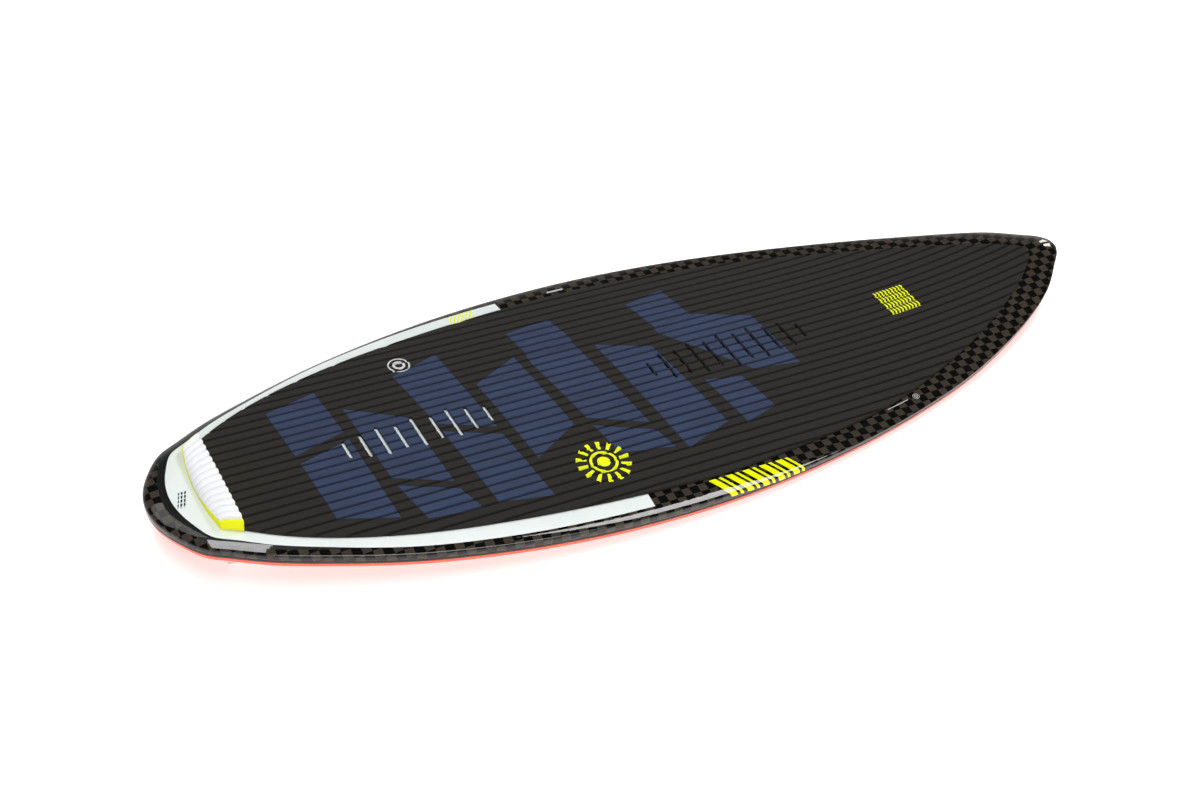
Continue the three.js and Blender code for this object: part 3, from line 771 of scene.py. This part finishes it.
def hull_top_lines():
    """Lines from the seam to the deck, and the first lines of the black band and of the paint."""
    paint = along_rim(PAINT_EDGE)
    black = paint - along_rim(BLACK_WIDTH)
    seam = SKIRT + BAND_HEIGHT + GAP
    inset, height = side_line(seam)
    lines = [(inset + 0.5, height), (inset + 0.12, height + 0.15), side_line(seam + 0.5)]
    room = APEX - (EDGE + seam + 0.5)
    lines += [side_line(seam + 0.5 + room * share) for share in (0.35, 0.7)]
    start = rail_share(black)
    lines += [upper_rail(1 - (1 - start) * k / RAIL_STEPS) for k in range(RAIL_STEPS)]
    first_black = len(lines)
    lines += [top_line(black + (paint - black) * share) for share in (0, 0.35, 0.7)]
    first_paint = len(lines)
    inner = np.minimum(np.maximum(paint, RAIL_WIDTH) + 8, np.maximum(RAIL_WIDTH + 0.4, 0.9 * ROOM))
    lines += [top_line(paint + (inner - paint) * share) for share in np.linspace(0, 1, 8)]
    return lines, first_black, first_paint


def paint_zones(piece, walls, lines, first_black, first_paint):
    """Which faces are cloth, white paint and black band."""
    x = RIM[:, 0]
    zones = np.full(len(piece.data.polygons), CARBON, np.int32)
    for k in range(len(lines) - 1):
        for i in range(AROUND):
            if k >= first_paint and x[i] < PAINT_END:
                zones[k * AROUND + i] = PAINT
            elif first_black <= k < first_paint and x[i] < BLACK_END:
                zones[k * AROUND + i] = BLACK
    places = to_level(np.array([p.center for p in piece.data.polygons]))
    cap = np.arange(len(zones)) >= walls
    tail = places[:, 0] < KICK_FRONT + 20
    from_slots = np.abs(places[:, :2] - REAR_SLOTS_MIDDLE)
    under_slots = np.all(from_slots < REAR_SLOTS_REACH, axis=1)
    zones[cap & (tail | under_slots)] = PAINT
    return zones


def hull_top():
    """The deck and rails down to the seam, with its white paint and black tail band."""
    def deck(lowered):
        return lambda x, y, share: deck_height(x, y * share) - lowered

    lines, first_black, first_paint = hull_top_lines()
    piece, walls = shell_piece("hull_top", lines, deck(0), deck(SHELL), SHELL)
    zones = paint_zones(piece, walls, lines, first_black, first_paint)
    piece.data.polygons.foreach_set("material_index", zones)

    # The cloth lies flat on the deck and wraps down over the rail without stretching.
    insets = np.array([line[0] for line in lines])
    heights = np.array([line[1] for line in lines])
    lengths = np.hypot(np.diff(insets, axis=0), np.diff(heights, axis=0))
    wrap = np.concatenate([np.cumsum(lengths[::-1], axis=0)[::-1], np.zeros((1, AROUND))])
    anchor = RIM + INWARD * insets[-1][:, None]
    flat = anchor[None] - INWARD[None] * wrap[:, :, None]
    laid = level_places(piece)
    laid[:len(lines) * AROUND, :2] = flat.reshape(-1, 2)
    laid[len(lines) * AROUND:2 * len(lines) * AROUND, :2] = flat[::-1].reshape(-1, 2)
    lay(piece, laid)
    black = gloss_paint("black_gloss", rgb(9, 9, 10), rgb(17, 17, 18), 0.35).material
    dress(piece, "board", "carbon_laminate", carbon_material(), tail_paint_material(), black)
    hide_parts("deck_shell")


def seam_band():
    """The black joint line: a strip with rounded edges round the whole rail."""
    steps = [
        (0.0, 0.5), (0.12, 0.12), (0.5, 0.0), (1.75, -0.08), (3.0, 0.0), (3.38, 0.12), (3.5, 0.5),
    ]
    lines = []
    for above, inset_more in steps:
        inset, height = side_line(SKIRT + above)
        lines.append((inset + inset_more, height))
    low, high = side_line(SKIRT), side_line(SKIRT + BAND_HEIGHT)
    lines += [(high[0] + SHELL, high[1]), (low[0] + SHELL, low[1])]
    points, faces = loft([ring_of(line) for line in lines], caps=False)
    piece = mesh_object("seam_band", points, faces)
    lay(piece)
    dress(piece, "board", "seam_black", seam_material())
    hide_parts("rail_band")


def fin_place(side):
    """Where a fin box stands: its slot's middle on the hull, with its up axis into the board."""
    name = "left" if side > 0 else "right"
    joint = next(j for j in frame["joints"] if j["name"] == f"{name}_fin_release")
    up = -Vector(joint["axis"]).normalized()
    across = LEVEL_TURN.to_3x3() @ Vector((0, 1, 0))
    along = across.cross(up).normalized()
    along = Matrix.Rotation(-side * math.radians(2), 3, up) @ along
    low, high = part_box(f"fin_box_{name}")
    base = (low + high) / 2 - up * (BOX_HEIGHT / 2 * 0.001)
    basis = Matrix((along, up.cross(along), up)).transposed().to_4x4()
    return Matrix.Translation(base) @ basis @ Matrix.Scale(0.001, 4)


def placed(piece, place):
    """Moves a piece drawn in millimetres about its own base into the row frame."""
    piece.data.transform(place @ LEVEL.inverted())
    return piece


def hull_bottom():
    """The orange shell under the seam: rounded edge, faintly bellied bottom, two box pockets."""
    start = SKIRT - GAP
    inset, height = side_line(start)
    lines = [(inset + 0.5, height), (inset + 0.12, height - 0.15), side_line(start - 0.5)]
    lines += [side_line(start - 0.5 - (start - 3.5) * share) for share in (0.35, 0.7, 1)]
    corner_inset, corner_height = side_line(3)
    for t in (0.25, 0.5, 0.75, 1):
        u = 1 - t
        inset = u * u * corner_inset + 2 * u * t * (EDGE_INSET + 0.2) + t * t * (EDGE_INSET + 2)
        lines.append((inset, u * u * corner_height + (1 - u * u) * EDGE))
    inner = RIM + INWARD * RAIL_WIDTH
    inner_edge = smooth(RAIL_EDGE, inner[:, 0])
    for share in (0.15, 0.4, 0.7, 1):
        inset = EDGE_INSET + 2 + (RAIL_WIDTH - EDGE_INSET - 2) * share
        lines.append((np.full(AROUND, inset), EDGE + (inner_edge - EDGE) * share))

    def bottom(raised):
        def height(x, y, share):
            vee = VEE * min(1, max(0, x / 150)) * max(0, 1 - abs(share) / FLAT_SHARE)
            belly = BELLY * (1 - max(abs(share), FLAT_SHARE) ** 2)
            return float(smooth(RAIL_EDGE, x)) - belly - vee + raised
        return height

    piece, _ = shell_piece("hull_bottom", lines, bottom(0), bottom(SHELL), -SHELL)
    for side in (1, -1):
        outline = stadium(BOX_LENGTH + 2 * GAP, BOX_WIDTH + 2 * GAP, 24)
        pocket = mesh_object("pocket", *loft(stack((outline, -6.0), (outline, 30.0))))
        combine(piece, placed(pocket, fin_place(side)), "DIFFERENCE")
    lay(piece)
    orange = gloss_paint("orange_gloss", rgb(245, 74, 22), rgb(253, 88, 30), 0.32).material
    dress(piece, "board", "orange_paint", orange)
    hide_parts("bottom_shell")


# ---- traction pad

SHEET_RIBS = 31
GROOVE_DEPTH, GROOVE_HALF_WIDTH = 2.7, 2.0


def rib_profile(y):
    """The pad's face across the board: softly crowned ribs with a groove between each two."""
    local = (y / RIB_PITCH + 0.5) % 1 - 0.5
    from_groove = RIB_PITCH * (0.5 - np.abs(local))
    crown = 0.22 * (2 * np.abs(local)) ** 4
    groove = GROOVE_DEPTH * np.clip(1 - from_groove / GROOVE_HALF_WIDTH, 0, 1) ** 0.7
    return -crown - groove


def pad_sheet():
    """A closed sheet of ribs along the whole deck, wider than the pad."""
    half = RIB_PITCH / 2
    reach = SHEET_RIBS * half
    offsets = [*(-half + more for more in (0, 0.35, 0.9, 1.5, 2, 2.8)), -3.8, -2]
    offsets = [*offsets, 0, *(-o for o in reversed(offsets[1:]))]
    ribs = (np.arange(SHEET_RIBS) - SHEET_RIBS // 2) * RIB_PITCH
    ys = np.array([rib + o for rib in ribs for o in offsets])
    ys = np.append(ys[np.abs(ys) < reach], [-reach, reach])
    ys = np.unique(np.round(ys, 3))
    xs = np.concatenate([[-640, -300, 0], np.arange(50, 700, 14)])
    grid_x, grid_y = np.meshgrid(xs, ys, indexing="ij")
    deck = deck_height(grid_x, grid_y)
    high = np.stack([grid_x, grid_y, deck + PAD_THICKNESS + rib_profile(grid_y)], -1)
    low = np.stack([grid_x, grid_y, deck + GLUE], -1)
    rows, columns = grid_x.shape
    points = np.concatenate([high.reshape(-1, 3), low.reshape(-1, 3)])

    def at(layer, i, j):
        return (layer * rows + i) * columns + j

    faces = []
    for i in range(rows - 1):
        for j in range(columns - 1):
            faces.append((at(0, i, j), at(0, i + 1, j), at(0, i + 1, j + 1), at(0, i, j + 1)))
            faces.append((at(1, i, j), at(1, i, j + 1), at(1, i + 1, j + 1), at(1, i + 1, j)))
        for j in (0, columns - 1):
            faces.append((at(0, i, j), at(1, i, j), at(1, i + 1, j), at(0, i + 1, j)))
    for j in range(columns - 1):
        for i in (0, rows - 1):
            faces.append((at(0, i, j), at(0, i, j + 1), at(1, i, j + 1), at(1, i, j)))
    return mesh_object("deck_traction", points, faces)


def stadium(length, width, arc=8):
    """An outline with round ends along X."""
    radius = width / 2
    reach = length / 2 - radius
    turn = np.linspace(-np.pi / 2, np.pi / 2, arc + 1)
    end = np.column_stack([reach + radius * np.cos(turn), radius * np.sin(turn)])
    return np.concatenate([end, -end])


def traction_pad():
    """The grooved pad and its coloured inlays, all cut from one sheet so that the ribs meet."""
    curve = plan_curve([(PAD_OUTLINE[0][0] - 60, 0), *PAD_OUTLINE], 640)
    edge = curve[curve[:, 0] > PAD_OUTLINE[0][0] + 1]
    rear_x, rear_y = PAD_OUTLINE[0]
    split = int(np.argmin(np.where(edge[:, 1] > 0, edge[:, 0], 1e9)))
    corner = [(rear_x, y) for y in np.linspace(rear_y, -rear_y, 24)]
    edge = np.concatenate([edge[:split + 1], corner, edge[split + 1:]])
    pad = pad_sheet()
    combine(pad, pad_cutter("edge", [edge], 0.9, -1), "INTERSECT")
    slots = []
    for start, halves in SLOT_ROWS:
        for i, half in enumerate(halves):
            slot = stadium(2 * half, SLOT_WIDTH)
            slots.append(np.column_stack([start + i * SLOT_PITCH - slot[:, 1], slot[:, 0]]))
    combine(pad, pad_cutter("slots", slots, 0.5, 1), "DIFFERENCE")
    inlays = copy_of(pad, "navy_inlays")
    shards = [fine(shard) for shard in SHARDS]
    combine(inlays, pad_cutter("shards", shards, 0.25, -1), "INTERSECT")
    recesses = [fine(grow(shard, GAP)) for shard in SHARDS]
    combine(pad, pad_cutter("recesses", recesses, 0.25, 1), "DIFFERENCE")
    for piece in (pad, inlays):
        lay(piece)
    # Painted shade for the pad's ribs: each groove is darkened, near-black on the pad and deep navy on the inlays.
    black_groove_shade = (RIB_PITCH, RIB_PITCH / 2, rgb(6, 6, 6))
    navy_groove_shade = (RIB_PITCH, RIB_PITCH / 2, rgb(12, 15, 24))
    dress(pad, "board", "pad_foam",
          foam_material("pad_foam_grain", rgb(25, 23, 20), rgb(41, 38, 33),
                        groove_shade=black_groove_shade, printed=True))
    dress(inlays, "board", "navy_foam",
          foam_material("navy_foam_grain", *NAVY, groove_shade=navy_groove_shade, printed=True))
    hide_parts("deck_pad")
    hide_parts(*(f"pad_inlay_{i + 1}" for i in range(len(SHARDS))))


# ---- kick

KICK_RIBS = 14
CAP_INSET = 3
KICK_RIB_PITCH = 2 * (KICK_HALF_WIDTH - CAP_INSET) / KICK_RIBS


def kick_plan(across, back, inset=0):
    """A plan point of the kick, from its share across (-1 to 1) and its share back (0 to 1)."""
    bow = KICK_REAR_MIDDLE - KICK_REAR_END
    rear = KICK_REAR_END + bow * (1 - across ** 2)
    half = KICK_HALF_WIDTH - inset + (KICK_REAR_HALF - KICK_HALF_WIDTH) * back
    return KICK_FRONT + (rear - KICK_FRONT) * back, across * half


def kick_rise(across, back):
    """The wedge's height above the deck at a plan point."""
    x, _ = kick_plan(across, back)
    share = np.clip((KICK_FRONT - x) / KICK_LENGTH, 0, 0.99)
    return float(KICK_HEIGHT * np.sqrt(1 - share ** 2))


def shares_across(ends, end_count, middle_count):
    """Shares from -1 to 1 that crowd together at both ends."""
    return np.concatenate([
        np.linspace(-1, -ends, end_count)[:-1], np.linspace(-ends, ends, middle_count),
        np.linspace(ends, 1, end_count)[1:],
    ])


def lofted_kick(name, section, across, inset=0):
    """A piece lofted across the board through sections of (share back, x shift, height)."""
    rings = []
    for a in across:
        ring = []
        for back, forward, height in section(a):
            x, y = kick_plan(a, back, inset)
            ring.append((x + forward, y, deck_height(x, y) + height))
        rings.append(np.array(ring))
    return mesh_object(name, *loft(rings))


def kick_base():
    """The yellow wedge, upright in front and rounding down behind, with softened edges."""
    backs = 1 - (1 - np.linspace(0, 1, 22)) ** 1.6

    def section(a):
        end = max(0.0, (abs(a) - 0.985) / 0.015)
        soft = 0.8 * (1 - math.sqrt(1 - min(1.0, end) ** 2))
        points = [(0, 0, height) for height in (GLUE, 3, 9, 15, 17.2 - soft)]
        points.append((0, -0.25, 17.75 - soft))
        points += [(back, 0, kick_rise(a, back) - soft) for back in backs[1:-1]]
        top = kick_rise(a, 1)
        points += [(1, 0.3, top - 0.2 - soft), (1, 0, top - 0.9 - soft), (1, 0, GLUE)]
        return points

    piece = lofted_kick("kick_wedge", section, shares_across(0.985, 5, 81))
    lay(piece)
    dress(piece, "board", "yellow_foam",
          foam_material("yellow_foam_grain", rgb(238, 240, 10), rgb(250, 252, 30), 0.35))
    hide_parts("kick_base")


def pillow(y):
    """0 along the crest of a kick rib, 1 in the groove between two."""
    return np.abs(2 * ((y / KICK_RIB_PITCH) % 1 - 0.5)) ** 2.4


def kick_top():
    """The white cap on the wedge: pillowed ribs from front to back, with a scalloped front."""
    backs = 1 - (1 - np.linspace(0, 1, 26)) ** 1.6

    def section(a):
        _, y = kick_plan(a, 0, CAP_INSET)
        dip = float(pillow(y))
        end = max(0.0, (abs(a) - 0.97) / 0.03)
        soft = 1.6 * (1 - math.sqrt(1 - min(1.0, end) ** 2))
        crest = KICK_TOP_THICKNESS - 2.1 * dip - soft
        front = -1.5 * dip - soft * 0.3
        points = [(0, front, KICK_HEIGHT + GAP), (0, front, KICK_HEIGHT + crest - 1.4)]
        points.append((0, front - 0.45, KICK_HEIGHT + crest - 0.45))
        for back in backs[1:]:
            thin = max(0.35, math.sqrt(max(0.0, 1 - back ** 7)))
            forward = front * (1 - back) ** 6
            points.append((back, forward, kick_rise(a, back) + crest * thin))
        underside = (1, 0.93, 0.8, 0.6, 0.4, 0.2)
        return points + [(back, 0, kick_rise(a, back) + GAP) for back in underside]

    across = shares_across(0.97, 7, 197)
    piece = lofted_kick("kick_ribs", section, across, CAP_INSET)
    laid = level_places(piece)
    laid[:, 1] = np.repeat(across * (KICK_HALF_WIDTH - CAP_INSET), len(laid) // len(across))
    lay(piece, laid)
    # Painted shade: each groove between the kick's ribs is tinted pale grey-blue.
    groove_shade = (KICK_RIB_PITCH, 0, rgb(226, 229, 235))
    dress(piece, "board", "white_foam",
          foam_material("white_foam_grain", rgb(240, 241, 243), rgb(250, 250, 252), 0.3, groove_shade),
          sharp=50)
    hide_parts("kick_top")


# ---- fins and their boxes

FIN_DEPTH, FIN_ROOT, FIN_TIP, FIN_SWEEP, FIN_THICKNESS = 36, 92, 24, 62, 6
FOIL_POINTS = 72
# The share of a fin's depth at which its tip starts to round off.
TIP_START = 0.94
TAB_LENGTH, TAB_WIDTH, TAB_HEIGHT = 60, 5.6, 13
BOX_LENGTH, BOX_WIDTH, BOX_HEIGHT = 118, 18, 16
SCREW_RADIUS = 2.5


def fin_piece(side):
    """A skim fin: foiled blade with a rounded tip, and the tab that stands in the box."""
    rings = []
    angle = 2 * np.pi * np.arange(FOIL_POINTS) / FOIL_POINTS
    along = (1 - np.cos(angle)) / 2
    for share in np.concatenate([np.linspace(0, TIP_START, 26), [0.965, 0.985, 0.996, 1.0]]):
        chord = FIN_TIP + (FIN_ROOT - FIN_TIP) * (1 - share) ** 0.8
        leading = FIN_ROOT / 2 - FIN_SWEEP * share ** 1.35
        into_tip = max(0.0, share - TIP_START) / (1 - TIP_START)
        close = math.sqrt(max(0.04, 1 - into_tip ** 2))
        thick = FIN_THICKNESS * (1 - 0.7 * share) * close
        flank = np.sin(angle) * (1 - 0.35 * along) * thick / 2
        inset = chord * 0.06 * (1 - close)
        x = leading - inset - (chord - 2 * inset) * along
        z = np.full(FOIL_POINTS, -GAP - (FIN_DEPTH - GAP) * share)
        rings.append(np.column_stack([x, flank, z]))
    name = "left" if side > 0 else "right"
    piece = mesh_object(f"skim_fin_{name}", *loft(rings))
    tab = stadium(TAB_LENGTH, TAB_WIDTH, 12)
    slim = grow(tab, -0.7)
    rings = stack((tab, -GAP - 1.0), (tab, TAB_HEIGHT - 0.8), (slim, TAB_HEIGHT))
    combine(piece, mesh_object("tab", *loft(rings)), "UNION")
    lay(piece)
    placed(piece, fin_place(side))
    dress(piece, f"{name}_fin", "fin_laminate", laminate_material())
    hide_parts(f"fin_{name}")


def box_piece(side):
    """A fin box: rounded body with a chamfered mouth, the tab's slot and two screw holes."""
    body = stadium(BOX_LENGTH, BOX_WIDTH, 28)
    low, high = grow(body, -0.4), grow(body, -1.2)
    rings = stack((low, 0.0), (body, 0.4), (body, BOX_HEIGHT - 1.2), (high, BOX_HEIGHT))
    name = "left" if side > 0 else "right"
    piece = mesh_object(f"fin_socket_{name}", *loft(rings))
    slot = stadium(TAB_LENGTH + 2 * GAP, TAB_WIDTH + 2 * GAP, 12)
    mouth = grow(slot, 0.4)
    rings = stack((mouth, -1.0), (mouth, 0.0), (slot, 0.5), (slot, TAB_HEIGHT + GAP))
    combine(piece, mesh_object("slot", *loft(rings)), "DIFFERENCE")
    for end in (1, -1):
        centre = end * (TAB_LENGTH / 2 + GAP + SCREW_RADIUS)
        hole = stadium(2 * (SCREW_RADIUS + GAP) + 0.01, 2 * (SCREW_RADIUS + GAP), 24)
        hole[:, 0] += centre
        combine(piece, mesh_object("hole", *loft(stack((hole, -3.0), (hole, 11.0)))), "DIFFERENCE")
    lay(piece)
    placed(piece, fin_place(side))
    dress(piece, "board", "box_plastic", plastic_material())
    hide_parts(f"fin_box_{name}")


def carried_nodes():
    core, wood, steel = core_material(), wood_material(), steel_material()
    finishes = {"foam_core_left": core, "foam_core_right": core, "stringer": wood}
    for name in ("left", "right"):
        for end in ("front", "rear"):
            finishes[f"fin_screw_{name}_{end}"] = steel
    for node, material in finishes.items():
        mesh = frame["nodes"][node].data
        mesh.materials.clear()
        mesh.materials.append(material)


# ---- stage

FLOOR_SIZE = 18.0


def floor():
    """Pale paper that glows a little, as on a lit table."""
    mesh = bpy.data.meshes.new("floor")
    half = FLOOR_SIZE / 2
    corners = [(-half, -half, 0), (half, -half, 0), (half, half, 0), (-half, half, 0)]
    mesh.from_pydata(corners, [], [(0, 1, 2, 3)])
    s = Shader("floor_paper", Roughness=0.9, Specular_IOR_Level=0.1,
               Emission_Color=(1, 1, 1, 1), Emission_Strength=0.5)
    tone = s.noise(s.object_place(), 1.5, 4.0)
    s.set(Base_Color=s.mix(tone, rgb(246, 246, 246), rgb(252, 252, 252)))
    mesh.materials.append(s.material)
    piece = bpy.data.objects.new("floor", mesh)
    bpy.context.scene.collection.objects.link(piece)


def overhead_light(name, place, size, power, turn=0.0):
    """A rectangular light that hangs level, turned about the vertical."""
    data = bpy.data.lights.new(name, "AREA")
    data.shape = "RECTANGLE"
    data.size, data.size_y = size
    data.energy = power
    light = bpy.data.objects.new(name, data)
    light.location = place
    light.rotation_euler = (0, 0, math.radians(turn))
    bpy.context.scene.collection.objects.link(light)


def lighting():
    """A pale horizon under a dark ceiling, with four soft lights hanging level."""
    world = bpy.data.worlds.new("studio")
    world.use_nodes = True
    tree = world.node_tree
    direction = tree.nodes.new("ShaderNodeTexCoord").outputs["Generated"]
    split = tree.nodes.new("ShaderNodeSeparateXYZ")
    tree.links.new(direction, split.inputs[0])
    glow = tree.nodes.new("ShaderNodeMapRange")
    tree.links.new(split.outputs["Z"], glow.inputs[0])
    for socket, value in zip(glow.inputs[1:5], (0.2, 0.5, 0.7, 0.06)):
        socket.default_value = value
    tree.links.new(glow.outputs[0], tree.nodes["Background"].inputs["Strength"])
    tree.nodes["Background"].inputs["Color"].default_value = (1, 1, 1, 1)
    bpy.context.scene.world = world
    overhead_light("nose_side", (1.15, 0.15, 2.3), (1.5, 0.65), 34, 46)
    overhead_light("tail_side", (-0.93, -0.15, 2.3), (0.45, 2.0), 26, -28)
    overhead_light("far_fill", (-1.2, 1.6, 2.3), (1.4, 1.2), 9)
    overhead_light("camera_fill", (-0.6, -2.6, 1.8), (2.4, 1.0), 44)


CAMERA_HEADING, CAMERA_PITCH, CAMERA_ROLL = -0.5786, 0.6880, 0.1315
CAMERA_PLACE = (-1091.12, -1555.04, 1494.03 + PAD_THICKNESS)
CAMERA_LENS = 52.18


def camera():
    """The view over the starboard tail, set in the level drawing of the board."""
    heading, pitch, roll = CAMERA_HEADING, CAMERA_PITCH, CAMERA_ROLL
    back = Vector((math.sin(heading) * math.cos(pitch), -math.cos(heading) * math.cos(pitch),
                   math.sin(pitch)))
    right = Vector((math.cos(heading), math.sin(heading), 0))
    up = back.cross(right)
    turned_right = right * math.cos(roll) + up * math.sin(roll)
    turned_up = up * math.cos(roll) - right * math.sin(roll)
    data = bpy.data.cameras.new("camera")
    data.sensor_width = 36
    data.lens = CAMERA_LENS
    data.clip_end = 50
    eye = bpy.data.objects.new("camera", data)
    basis = Matrix((turned_right, turned_up, back)).transposed()
    place = LEVEL @ Vector(CAMERA_PLACE)
    eye.matrix_world = Matrix.Translation(place) @ LEVEL_TURN @ basis.to_4x4()
    bpy.context.scene.collection.objects.link(eye)
    bpy.context.scene.camera = eye


hull_top()
seam_band()
hull_bottom()
traction_pad()
kick_base()
kick_top()
for fin_side in (1, -1):
    fin_piece(fin_side)
    box_piece(fin_side)
carried_nodes()
floor()
lighting()
camera()
bpy.context.scene.view_settings.view_transform = "Standard"

bpy.context.view_layer.update()
